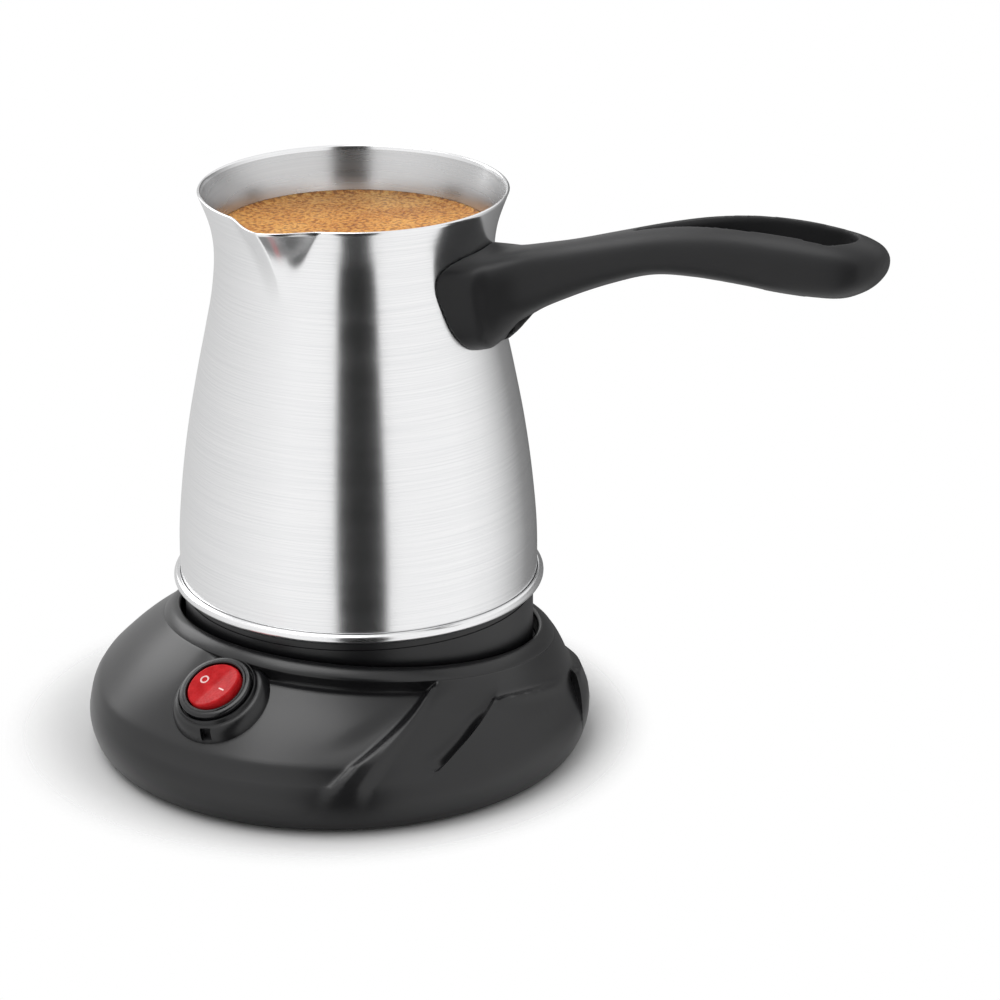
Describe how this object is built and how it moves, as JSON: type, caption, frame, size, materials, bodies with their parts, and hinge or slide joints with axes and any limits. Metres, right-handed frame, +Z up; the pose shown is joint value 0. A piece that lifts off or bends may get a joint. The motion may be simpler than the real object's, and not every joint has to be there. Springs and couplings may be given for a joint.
{
  "type": "electric turkish coffee maker",
  "caption": "Brushed steel coffee pot with pouring lip and black slotted handle, on a round black cordless base with a red rocker switch.",
  "frame": {"origin": "on the table, on the axis that the pot turns about", "axes": "+Z up, +X along the handle, -Y towards the pouring lip; the switch is near -Y"},
  "size_m": [0.2107, 0.1327, 0.1529],
  "materials": {
    "brushed_steel": "brushed round the pot",
    "zinc_steel": "zinc plated",
    "aluminium": "rolled",
    "heater_sheath": "oxidised sheath",
    "ceramic": "cream, moulded or fired",
    "brass": "bright",
    "silicone": "soft, translucent grey",
    "rubber": "matt",
    "black_plastic": "satin black",
    "dark_plastic": "matt black",
    "handle_plastic": "satin black, fine grain",
    "switch_black": "semi-gloss black",
    "rocker_red": "clear red, polished",
    "lamp_glass": "neon lamp",
    "red_wire": "silicone sleeve",
    "blue_wire": "PVC sleeve"
  },
  "bodies": {
    "base": {"base_housing": "black_plastic", "base_plate": "dark_plastic", "plate_screws": "zinc_steel", "rubber_feet": "rubber", "base_connector": "dark_plastic", "pin_socket": "brass", "inner_contact": "brass", "outer_contact": "brass", "connector_cover": "ceramic", "connector_screws": "zinc_steel", "switch_bezel": "switch_black", "switch_body": "dark_plastic", "switch_lamp": "lamp_glass", "switch_terminals": "brass", "cord_gland": "dark_plastic", "cord_clamp": "ceramic", "clamp_screws": "zinc_steel", "base_leads": "blue_wire"},
    "lift": {"contact_pin": "brass", "inner_ring": "brass", "outer_ring": "brass"},
    "pot": {"pot_body": "brushed_steel", "heater_plate": "brushed_steel", "floor_seal": "silicone", "heat_spreader": "aluminium", "heating_element": "heater_sheath", "element_insulators": "ceramic", "dry_boil_thermostat": "dark_plastic", "thermostat_clip": "zinc_steel", "skirt_posts": "brass", "pot_skirt": "black_plastic", "skirt_screws": "zinc_steel", "skirt_cover": "black_plastic", "cover_screws": "zinc_steel", "pot_connector": "dark_plastic", "pot_leads": "red_wire", "handle_bracket": "zinc_steel", "handle": "handle_plastic", "handle_screws": "zinc_steel", "handle_nuts": "zinc_steel"},
    "rocker": {"switch_rocker": "rocker_red"},
    "blade": {"contact_blade": "brass"}
  },
  "joints": [
    {"name": "pot_lift", "type": "slide", "parent": "base", "child": "lift", "axis": [0, 0, 1], "range_m": [0, 0.08]},
    {"name": "pot_turn", "type": "hinge", "parent": "lift", "child": "pot", "pos_m": [0, 0, 0.03], "axis": [0, 0, 1], "continuous": true},
    {"name": "rocker_tilt", "type": "hinge", "parent": "base", "child": "rocker", "pos_m": [-0.00621, -0.05912, 0.02973], "axis": [0.3448, 0.8049, 0.483], "range_deg": [0, 16]},
    {"name": "blade_tilt", "type": "hinge", "parent": "base", "child": "blade", "pos_m": [-0.0057, -0.0542, 0.02115], "axis": [0.3448, 0.8049, 0.483], "range_deg": [-8, 0]}
  ],
  "couplings": [
    {"joint": "blade_tilt", "follows": "rocker_tilt", "ratio": -0.5}
  ]
}
